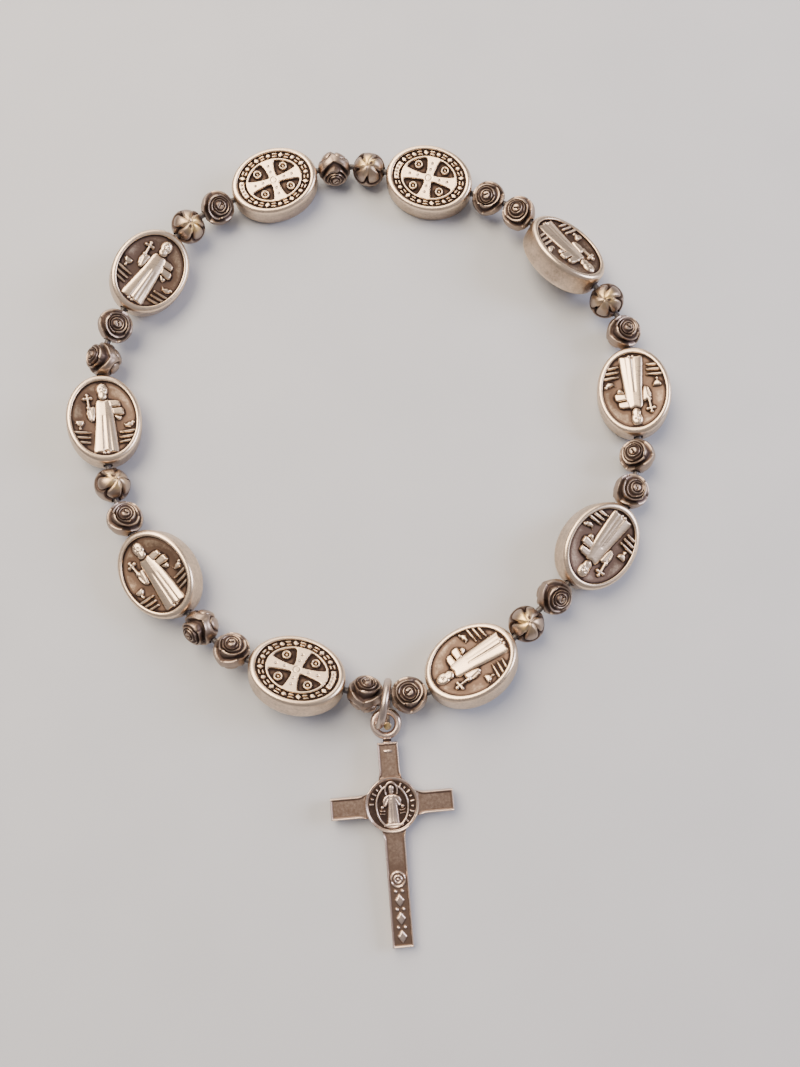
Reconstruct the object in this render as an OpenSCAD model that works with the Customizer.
// Rosary bracelet, lying closed on a surface with its cross laid out in front.
// Ten oval medals and twenty rose beads share one elastic cord, and a jump ring holds the cross.
// Millimetres. The origin is the centre of the loop, on the surface; +Z is up and -Y is the cross.

/* [Medal beads] */
// Length of a medal along the cord
medal_l = 12.6; // [10:0.2:14]
// Width of a medal across the cord
medal_w = 9.8; // [8:0.1:11]
// Thickness of a medal
medal_t = 3.5; // [3:0.1:4.5]
// Rounding of a medal's outer edges
medal_edge = 0.7; // [0.3:0.05:1.2]
// Width of the rim round a medal's sunk faces
medal_rim = 0.75; // [0.5:0.05:1.2]
// Depth of a medal's sunk faces
medal_sink = 0.5; // [0.3:0.05:0.7]
// Height of the reliefs above a medal's sunk face
medal_relief = 0.4; // [0.2:0.05:0.5]

/* [Rose beads] */
// Diameter of a rose bead
rose_d = 4.8; // [4.5:0.1:6]
// Depth of the grooves between the petals
petal_groove = 0.4; // [0.2:0.05:0.6]
// Width of the grooves between the petals
petal_gap = 0.3; // [0.15:0.05:0.4]

/* [Cord] */
// Diameter of the elastic cord
cord_d = 0.8; // [0.5:0.1:1]
// Diameter of the holes through the beads
bore_d = 1.2; // [1.1:0.05:1.5]
// Gap between neighbouring beads
bead_gap = 0.35; // [0.25:0.05:0.8]
// Gap between the two roses beside the jump ring
ring_gap = 0.7; // [0.6:0.05:1.2]

/* [Jump ring] */
// Outside diameter of the jump ring
ring_d = 6.5; // [6:0.1:8]
// Diameter of the jump ring's wire
ring_wire = 1; // [0.8:0.05:1.1]
// Lean of the jump ring towards the first rose
ring_lean = 0; // [-4:1:8]

/* [Cross] */
// Length of the cross without its eyelet
cross_l = 24.4; // [20:0.2:30]
// Width of the cross over its arms
cross_w = 15.4; // [12:0.2:20]
// Thickness of the cross
cross_t = 1.5; // [1.2:0.1:2.2]
// Width of the four arms
arm_w = 2.6; // [2:0.1:3.2]
// Distance of the round medallion's centre below the top of the cross
disc_drop = 7.6; // [6.5:0.1:9]
// Outside diameter of the round medallion
disc_d = 6.7; // [6:0.1:8]
// Width of the raised border round the cross
border_w = 0.28; // [0.2:0.02:0.4]
// Depth of the field inside the border
border_sink = 0.2; // [0.1:0.02:0.3]
// Outside diameter of the eyelet
eyelet_d = 4; // [3.7:0.1:4.6]
// Diameter of the eyelet's wire
eyelet_wire = 0.9; // [0.7:0.05:1]
// Turn of the cross away from -Y
cross_turn = 4.8; // [0:0.2:12]

/* [Hidden] */
$fn = 72;
// Overlap that joins raised metal to the metal under it
bite = 0.1;
// Distance of the cord from the loop's centre, as shares of the loop's radius, at equal
// steps clockwise from the jump ring; every odd one is a medal and every even one a pair of roses
LOOP_SHAPE = [
    1.03, 1.0, 0.995, 0.95, 0.965, 0.97, 1.015, 1.0, 1.035, 1.025,
    1.035, 0.98, 1.01, 0.965, 1.02, 1.0, 1.01, 0.99, 0.955, 1.025
];
// Direction of the jump ring from the loop's centre
ring_bearing = -85.7;
// How far the string bows outwards at its last medal's end and at the jump ring
ring_bow = [0.5, 0.5];
// Roll of each medal about the cord, outer edge up, and its upper side
MEDALS = [
    [25, "cross"], [-16, "figure"], [16, "figure"], [26, "figure"], [6, "cross"],
    [9, "cross"], [-28, "figure"], [12, "figure"], [-18, "figure"], [20, "figure"]
];
// Roll of each rose about the cord, bloom towards the loop's centre, and its turn about its own stem
ROSES = [
    [45, 0], [26, 0], [-56, 180], [22, 0], [-146, 0],
    [-35, 180], [32, 0], [-154, 180], [32, 0], [85, 0],
    [-160, 0], [22, 180], [20, 0], [-154, 0], [-6, 180],
    [30, 0], [-7, 0], [-26, 180], [178, 180], [10, 0]
];
medal_count = len(MEDALS);
rose_count = len(ROSES);
bead_count = medal_count + rose_count;
// A pair of roses follows each medal, with the jump ring inside the pair that closes the loop
function is_medal(i) = i % 3 == 1;
function medal_of(i) = floor(i / 3);
function rose_bead_of(k) = k == 0 ? 0 : floor((k - 1) / 2) * 3 + 2 + (k - 1) % 2;
function bead_l(i) = is_medal(i) ? medal_l : rose_d;
function half_gap(i) = (i % bead_count == 0 ? ring_gap : bead_gap) / 2;
function pitch(i) = half_gap(i) + bead_l(i) + half_gap(i + 1);

// Height of a rolled medal's middle when its lower edge touches the surface
edge_across = medal_edge * medal_w / medal_l;
function rolled_h(roll) = (medal_w / 2 - edge_across) * abs(sin(roll))
    + (medal_t / 2 - medal_edge) * cos(roll)
    + norm([edge_across * sin(roll), medal_edge * cos(roll)]);
function medal_h(m) = max(rolled_h(MEDALS[m][0]), rose_d / 2);

// Closed curve through the loop's shape, sampled clockwise from the jump ring at radius 1
samples = 360;
shape_count = len(LOOP_SHAPE);
function shape_point(k) = LOOP_SHAPE[(k + shape_count) % shape_count];
function curve(a, b, c, d, t) = (2 * b + (c - a) * t + (2 * a - 5 * b + 4 * c - d) * t * t
    + (3 * b - a - 3 * c + d) * t * t * t) / 2;
function share_at(s) = let(k = floor(s), t = s - k)
    curve(shape_point(k - 1), shape_point(k), shape_point(k + 1), shape_point(k + 2), t);
function unit_point(j) = let(turn = ring_bearing - 360 * j / samples)
    share_at(shape_count * (j % samples) / samples) * [cos(turn), sin(turn)];
unit_path = [for (j = [0:samples]) unit_point(j)];
function running(v, j = 1, sum = 0, out = [0]) = j >= len(v) ? out
    : let(next = sum + norm(v[j] - v[j - 1])) running(v, j + 1, next, concat(out, [next]));
unit_run = running(unit_path);
string_l = medal_count * medal_l + rose_count * rose_d + (bead_count - 1) * bead_gap + ring_gap;
loop_r = string_l / unit_run[samples];
function find_run(s, low = 0, high = samples) = high - low < 2 ? low
    : let(mid = floor((low + high) / 2)) unit_run[mid] <= s ? find_run(s, mid, high) : find_run(s, low, mid);
function path_at(s) = let(u = s / loop_r, k = find_run(u), t = (u - unit_run[k]) / (unit_run[k + 1] - unit_run[k]))
    loop_r * (unit_path[k] + t * (unit_path[k + 1] - unit_path[k]));

// Ends of the beads on the cord, halfway across the gaps between them
function end_run(i, k = 0, sum = 0) = k >= i ? sum : end_run(i, k + 1, sum + pitch(k));
function end_h(i) = let(k = (i + bead_count) % bead_count, before = (k + bead_count - 1) % bead_count)
    is_medal(k) ? medal_h(medal_of(k))
    : is_medal(before) ? medal_h(medal_of(before))
    : (medal_h(medal_of((k + 1) % bead_count)) + medal_h(medal_of((k + bead_count - 2) % bead_count))) / 2;
function end_bow(i) = i == 0 ? ring_bow[1] : i == bead_count - 1 ? ring_bow[0] : 0;
bead_ends = [for (i = [0:bead_count - 1]) let(p = path_at(end_run(i)), q = p + end_bow(i) * p / norm(p))
    [q[0], q[1], end_h(i)]];
function bead_end(i) = bead_ends[i % bead_count];

// Jump ring: it stands on the surface round the cord and swings out towards the cross
ring_r = (ring_d - ring_wire) / 2;
// Share of the play round the cord that the ring has swung out
ring_swing_share = 0.4;
ring_swing = (ring_r - ring_wire / 2 - cord_d / 2) * ring_swing_share;
ring_lift = 0.05;
cord_run = bead_end(1) - bead_end(bead_count - 1);
ring_turn = atan2(cord_run[1], cord_run[0]) - 5;
ring_heading = [cos(ring_turn), sin(ring_turn), 0];
ring_out = [-ring_heading[1], ring_heading[0], 0];
ring_up = sin(ring_lean) * ring_heading + cos(ring_lean) * [0, 0, 1];
ring_side = cross(ring_up, ring_out);
ring_shift = 0.15;
ring_at = [bead_ends[0][0], bead_ends[0][1], ring_d / 2 + ring_lift]
    + ring_swing * ring_out + ring_shift * ring_heading;
ring_step = ring_wire + 0.2;
ring_cut = -12;
ring_sweep = 366;

// Cross: its eyelet hangs on the ring's inner wall and its foot lies on the surface
eyelet_r = (eyelet_d - eyelet_wire) / 2;
eyelet_seat = 34;
eyelet_clear = 0.26;
seat_r = ring_r - ring_wire / 2 - eyelet_wire / 2 - eyelet_clear;
cross_dir = [sin(cross_turn), -cos(cross_turn)];
seat_at = ring_at + seat_r * (sin(eyelet_seat) * ring_out - cos(eyelet_seat) * ring_up);
eyelet_h = seat_at[2];
eyelet_at = [seat_at[0], seat_at[1]] + eyelet_r * cross_dir;
neck_l = 0.4;
cross_top = eyelet_d / 2 + neck_l;
cross_slope = asin((eyelet_h - cross_t / 2) / (cross_top + cross_l));

function two_digits(n) = n < 10 ? str("0", n) : str(n);
function medal_name(m) = str("medal_", two_digits(m + 1));
function rose_name(r) = str("rose_", two_digits(r + 1));

// Robed figure in a box one unit high, seen from the front: x to the viewer's right, y up from the hem
ROBE = [[-0.18, 0.03], [0.17, 0.01], [0.15, 0.49], [0.115, 0.73], [0.05, 0.78], [-0.05, 0.78], [-0.1, 0.74], [-0.13, 0.48]];
SLEEVE = [[-0.09, 0.72], [-0.2, 0.62], [-0.22, 0.52], [-0.17, 0.48], [-0.11, 0.52]];
BOOK = [[0.05, 0.64], [0.17, 0.62], [0.25, 0.5], [0.28, 0.54], [0.25, 0.65], [0.17, 0.71], [0.06, 0.72]];
CUP = [[-0.35, 0.39], [-0.3, 0.39], [-0.31, 0.42], [-0.26, 0.47], [-0.39, 0.47], [-0.34, 0.42]];
BIRD = [[0.2, 0.36], [0.3, 0.34], [0.37, 0.43], [0.31, 0.4], [0.3, 0.46], [0.26, 0.4]];
// Folds of the robe: x at the hem, x at the chest, height of the top end
FOLDS = [[-0.11, -0.06, 0.72], [-0.03, -0.02, 0.76], [0.05, 0.03, 0.76], [0.12, 0.08, 0.7]];
// Ground lines: x from, x to, y
GROUND = [[-0.4, -0.2, 0.34], [-0.37, -0.2, 0.265], [-0.33, -0.2, 0.19], [0.19, 0.38, 0.29], [0.19, 0.35, 0.215], [0.19, 0.31, 0.14]];

// Flat shape one unit high raised by a share of the figure's rise
module raised(size, rise, outline) {
    translate([0, 0, -bite]) linear_extrude(rise + bite) scale(size) polygon(outline);
}

// Straight bar between two points of the figure's box
module bar(size, rise, from, to, width) {
    run = to - from;
    translate([size * from[0], size * from[1], -bite])
        rotate([0, 0, atan2(run[1], run[0])])
            translate([0, -size * width / 2, 0])
                cube([size * norm(run), size * width, rise + bite]);
}

// Robed figure with a small cross in one hand and a book in the other
module figure(size, rise, with_ground = true) {
    raised(size, rise * 0.75, ROBE);
    raised(size, rise * 0.6, SLEEVE);
    raised(size, rise * 0.85, BOOK);
    for (fold = FOLDS)
        bar(size, rise * 0.95, [fold[0], 0.04], [fold[1], fold[2]], 0.035);
    translate([0, size * 0.87, 0]) scale([0.8, 1.2, 1]) cylinder(h = rise * 0.7, r = size * 0.09);
    translate([0, size * 0.87, rise * 0.62]) sphere(r = size * 0.06);
    bar(size, rise * 0.7, [-0.2, 0.6], [-0.195, 0.86], 0.03);
    bar(size, rise * 0.7, [-0.26, 0.79], [-0.13, 0.79], 0.03);
    if (with_ground) {
        raised(size, rise * 0.6, CUP);
        raised(size, rise * 0.6, BIRD);
        for (line = GROUND)
            bar(size, rise * 0.5, [line[0], line[2]], [line[1], line[2]], 0.028);
    }
}

module ellipse(half_l, half_w) {
    scale([half_l, half_w]) circle(r = 1);
}

// Arm of a flared cross, from the middle outwards
module flared_arm(reach, inner, outer) {
    polygon([[0, -inner / 2], [reach, -outer / 2], [reach, outer / 2], [0, inner / 2]]);
}

// Half lengths of a medal's sunk face
face_l = medal_l / 2 - medal_rim - medal_edge / 3;
face_w = medal_w / 2 - medal_rim;

// Raised flared cross in an oval ring, with rosettes between the arms and marks round the border
module medal_cross_side() {
    ring_share = 0.76;
    ring_l = face_l * ring_share;
    ring_w = face_w * ring_share;
    line = medal_rim / 3;
    mark_share = (1 + ring_share) / 2;
    marks = 26;
    translate([0, 0, -bite]) linear_extrude(medal_relief * 0.9 + bite) {
        difference() {
            ellipse(ring_l, ring_w);
            ellipse(ring_l - line, ring_w - line);
        }
        intersection() {
            ellipse(ring_l - line / 2, ring_w - line / 2);
            union() {
                for (side = [0, 180]) {
                    rotate(side) flared_arm(ring_l, face_w * 0.2, face_w * 0.55);
                    rotate(side + 90) flared_arm(ring_w, face_w * 0.2, face_w * 0.55);
                }
            }
        }
    }
    for (x = [-1, 1], y = [-1, 1])
        translate([x * ring_l * 0.5, y * ring_w * 0.5, -bite])
            difference() {
                cylinder(h = medal_relief * 0.7 + bite, r = face_w * 0.11);
                translate([0, 0, bite]) cylinder(h = medal_relief, r = face_w * 0.05);
            }
    for (k = [2:marks - 2]) {
        turn = 360 * k / marks;
        translate([face_l * mark_share * cos(turn), face_w * mark_share * sin(turn), -bite])
            rotate([0, 0, atan2(sin(turn) / face_w, cos(turn) / face_l)])
                translate([-face_w * (k % 3 == 0 ? 0.03 : 0.07), -face_w * 0.03, 0])
                    cube([face_w * (k % 3 == 0 ? 0.06 : 0.14), face_w * 0.06, medal_relief * 0.6 + bite]);
    }
    translate([0, 0, -bite]) linear_extrude(medal_relief * 0.7 + bite)
        intersection() {
            difference() {
                ellipse(face_l * 0.95, face_w * 0.95);
                ellipse(face_l * 0.81, face_w * 0.81);
            }
            polygon([[0, 0], [face_l * 1.2, -face_w * 0.5], [face_l * 1.2, face_w * 0.5]]);
        }
}

module medal_figure_side() {
    figure_h = 2 * face_l * 0.97;
    rotate([0, 0, -90]) translate([0, -figure_h / 2, 0]) figure(figure_h, medal_relief);
}

// One medal about its own middle: +X along the cord, +Z the figure's side
module medal_blank() {
    scale([1, medal_w / medal_l, 1]) rotate_extrude()
        intersection() {
            translate([0, -medal_t / 2]) square([medal_l, medal_t]);
            union() {
                translate([0, -medal_t / 2]) square([medal_l / 2 - medal_edge, medal_t]);
                translate([0, medal_edge - medal_t / 2]) square([medal_l / 2, medal_t - 2 * medal_edge]);
                for (side = [-1, 1])
                    translate([medal_l / 2 - medal_edge, side * (medal_t / 2 - medal_edge)]) circle(r = medal_edge);
            }
        }
}

module medal_bead() {
    floor_h = medal_t / 2 - medal_sink;
    difference() {
        union() {
            difference() {
                medal_blank();
                for (side = [-1, 1])
                    translate([0, 0, side * (floor_h + medal_sink) - medal_sink])
                        linear_extrude(2 * medal_sink) ellipse(face_l, face_w);
            }
            intersection() {
                translate([0, 0, -medal_t / 2]) linear_extrude(medal_t) ellipse(face_l + bite, face_w + bite);
                union() {
                    translate([0, 0, floor_h]) medal_figure_side();
                    rotate([0, 180, 0]) translate([0, 0, floor_h]) medal_cross_side();
                }
            }
        }
        rotate([0, 90, 0]) cylinder(h = medal_l + 2, r = bore_d / 2, center = true);
    }
}

// Puts a bead's own +X along the cord between its two ends, rolled about the cord
module on_cord(i, roll) {
    from = bead_end(i);
    run = bead_end(i + 1) - from;
    translate(from + run * (half_gap(i) + bead_l(i) / 2) / pitch(i))
        rotate([0, -atan2(run[2], norm([run[0], run[1]])), atan2(run[1], run[0])])
            rotate([roll, 0, 0]) children();
}

module medal(m) {
    color("silver")
        on_cord(3 * m + 1, MEDALS[m][0] + (MEDALS[m][1] == "figure" ? 0 : 180)) medal_bead();
}

// Three-cornered rounded outline, one corner at +Y, where the corner radius is the reach
module petal_triangle(reach) {
    wide = reach * sqrt(3);
    intersection_for(k = [0:2])
        rotate(120 * k) translate([0, reach]) circle(r = wide);
}

// Groove along the rose's surface over +X, between two angles above its waist
module cleft(low, high) {
    rotate([90, 0, 0]) rotate([0, 0, low]) rotate_extrude(angle = high - low)
        translate([rose_d / 2, 0]) polygon([[-petal_groove, 0], [bite, -petal_gap], [bite, petal_gap]]);
}

// One rose about its own middle: +Z the bloom, bore along X
module rose_bead() {
    r = rose_d / 2;
    lip_h = r * 0.5;
    mid_h = r * 0.74;
    bud_h = r * 0.93;
    mid_reach = r * 0.82;
    bud_r = r * 0.42;
    difference() {
        intersection() {
            sphere(r = r);
            union() {
                translate([0, 0, -r]) cylinder(h = r + lip_h, r = r);
                linear_extrude(mid_h) petal_triangle(mid_reach);
                cylinder(h = bud_h, r = bud_r);
            }
        }
        // Groove between the outer petals and the middle ones
        translate([0, 0, lip_h - petal_groove]) linear_extrude(r) difference() {
            petal_triangle(mid_reach + petal_gap);
            petal_triangle(mid_reach);
        }
        // Groove between the middle petals and the bud
        translate([0, 0, mid_h - petal_groove]) difference() {
            cylinder(h = r, r = bud_r + petal_gap);
            translate([0, 0, -r]) cylinder(h = 3 * r, r = bud_r);
        }
        // Groove round the bud's heart
        translate([0, 0, bud_h - petal_groove * 0.6]) difference() {
            cylinder(h = r, r = bud_r * 0.62);
            translate([0, 0, -r]) cylinder(h = 3 * r, r = bud_r * 0.3);
        }
        // Notches where the three outer petals overlap, and clefts between the five petals of the back
        for (k = [0:2]) rotate([0, 0, 90 + 120 * k]) cleft(8, 40);
        for (k = [0:4]) rotate([0, 0, 90 + 72 * k]) cleft(-84, -14);
        rotate([0, 90, 0]) cylinder(h = rose_d + 2, r = bore_d / 2, center = true);
    }
}

module rose(k) {
    color("lightsteelblue")
        on_cord(rose_bead_of(k), ROSES[k][0]) rotate([0, 0, ROSES[k][1]]) rose_bead();
}

// Rings of points round each point of a route: side and up give each ring's own axes
function ring_points(at, side, up, radius, count) =
    [for (k = [0:count - 1]) let(turn = 360 * k / count) at + radius * (cos(turn) * side + sin(turn) * up)];
// Two triangles for each cell of a tube of rings, joined end to end when closed
function tube_faces(rings, count, closed) = [
    for (j = [0:rings - (closed ? 1 : 2)], k = [0:count - 1])
        let(a = j * count + k, b = j * count + (k + 1) % count,
            c = (j + 1) % rings * count + (k + 1) % count, d = (j + 1) % rings * count + k)
        for (half = [[a, b, c], [a, c, d]]) half
];

cord_sides = 8;
module elastic_cord() {
    route = [for (i = [0:bead_count - 1]) each is_medal(i)
        ? [bead_end(i), (bead_end(i) + bead_end(i + 1)) / 2] : [bead_end(i)]];
    turns = len(route);
    points = [for (j = [0:turns - 1])
        let(ahead = route[(j + 1) % turns] - route[(j + turns - 1) % turns], along = ahead / norm(ahead),
            flat = [along[1], -along[0], 0], side = flat / norm(flat))
        each ring_points(route[j], side, cross(side, along), cord_d / 2, cord_sides)];
    color("whitesmoke") polyhedron(points, tube_faces(turns, cord_sides, true), convexity = 6);
}

ring_sides = 6;
ring_steps = 16;
// The wire makes a little over one turn, bent sideways so that its two ends lie side by side
module jump_ring() {
    points = [for (j = [0:ring_steps])
        let(share = j / ring_steps, turn = ring_cut + ring_sweep * share, bend = pow(2 * share - 1, 3) / 2,
            away = cos(turn) * ring_out + sin(turn) * ring_up)
        each ring_points(ring_at + ring_r * away + ring_step * bend * ring_side,
            ring_side, away, ring_wire / 2, ring_sides)];
    last = (ring_steps + 1) * ring_sides;
    color("silver") polyhedron(points, concat(
        tube_faces(ring_steps + 1, ring_sides, false),
        [[for (k = [ring_sides - 1:-1:0]) k], [for (k = [last - ring_sides:last - 1]) k]]
    ), convexity = 4);
}

// Outline of the cross with its middle at the medallion, set in from the edge by a distance
module cross_outline(inset) {
    half_w = arm_w / 2 - inset;
    fillet = arm_w * 0.35;
    fillet_bite = 0.03;
    disc_r = disc_d / 2 - inset;
    reach = disc_d / 2 + fillet;
    translate([-half_w, disc_drop - cross_l + inset]) square([2 * half_w, cross_l - 2 * inset]);
    translate([inset - cross_w / 2, -half_w]) square([cross_w - 2 * inset, 2 * half_w]);
    circle(r = disc_r);
    // Hollow fillets between the arms and the medallion
    corner = arm_w / 2 + fillet;
    out = sqrt(reach * reach - corner * corner);
    for (turn = [0:90:270], flip = [0, 1]) rotate(turn) mirror([flip, 0])
        difference() {
            polygon([[0, 0], [corner, out], [0, out]]);
            translate([corner, out]) circle(r = fillet + inset + fillet_bite);
        }
}

module medallion(rise) {
    line = border_w * 0.6;
    inner_r = disc_d / 2 - border_w * 1.6;
    marks = 24;
    linear_extrude(rise) difference() {
        circle(r = inner_r);
        circle(r = inner_r - line);
    }
    linear_extrude(rise) difference() {
        ellipse(inner_r * 0.6, inner_r * 0.92);
        ellipse(inner_r * 0.6 - line, inner_r * 0.92 - line);
    }
    for (k = [0:marks - 1], turn = 360 * (k + 0.5) / marks)
        if (abs(cos(turn)) > 0.35)
            rotate([0, 0, turn]) translate([inner_r * 0.76, -line / 2, 0])
                cube([inner_r * 0.14, line, rise * 0.8]);
    translate([0, -inner_r * 0.86, 0]) figure(inner_r * 1.72, rise, false);
}

// One arm's length of flat cross with the eyelet, middle of the medallion at the origin, back upwards
module cross_metal() {
    field_h = cross_t / 2 - border_sink;
    eye_y = disc_drop + cross_top;
    neck_t = eyelet_wire * 0.8;
    difference() {
        union() {
            translate([0, 0, -cross_t / 2]) linear_extrude(cross_t) cross_outline(0);
            translate([0, eye_y, 0]) rotate_extrude() translate([eyelet_r, 0]) circle(r = eyelet_wire / 2);
            translate([-arm_w / 5, disc_drop - bite, -neck_t / 2])
                cube([arm_w / 2.5, neck_l + eyelet_wire / 2 + bite, neck_t]);
        }
        for (side = [0, 180]) rotate([0, side, 0]) {
            translate([0, 0, field_h]) linear_extrude(cross_t) difference() {
                cross_outline(border_w);
                circle(r = disc_d / 2);
            }
            translate([0, 0, field_h]) cylinder(h = cross_t, r = disc_d / 2 - border_w);
        }
    }
    // The back carries the figure, and the hidden front a plain flared cross
    translate([0, 0, field_h - bite]) medallion(border_sink + bite);
    rotate([0, 180, 0]) translate([0, 0, field_h - bite]) linear_extrude(border_sink + bite)
        for (turn = [0:90:270]) rotate(turn) flared_arm(disc_d * 0.36, arm_w * 0.2, arm_w * 0.5);
    // Small ring and three lozenges down the lower arm
    mark_y = disc_drop - cross_l;
    translate([0, mark_y + arm_w * 3, field_h - bite]) difference() {
        cylinder(h = border_sink + bite, r = arm_w * 0.34);
        translate([0, 0, bite]) cylinder(h = border_sink, r = arm_w * 0.26);
    }
    for (k = [0:2])
        translate([0, mark_y + arm_w * (0.65 + 0.75 * k), field_h - bite]) linear_extrude(border_sink + bite)
            scale([0.6, 1]) rotate(45) square(arm_w * 0.28, center = true);
}

module cross_pendant() {
    color("silver")
        translate([eyelet_at[0], eyelet_at[1], eyelet_h])
            rotate([0, 0, cross_turn]) rotate([cross_slope, 0, 0])
                translate([0, -disc_drop - cross_top, 0]) cross_metal();
}

for (m = [0:medal_count - 1])
    medal(m);
for (r = [0:rose_count - 1])
    rose(r);
elastic_cord();
jump_ring();
cross_pendant();
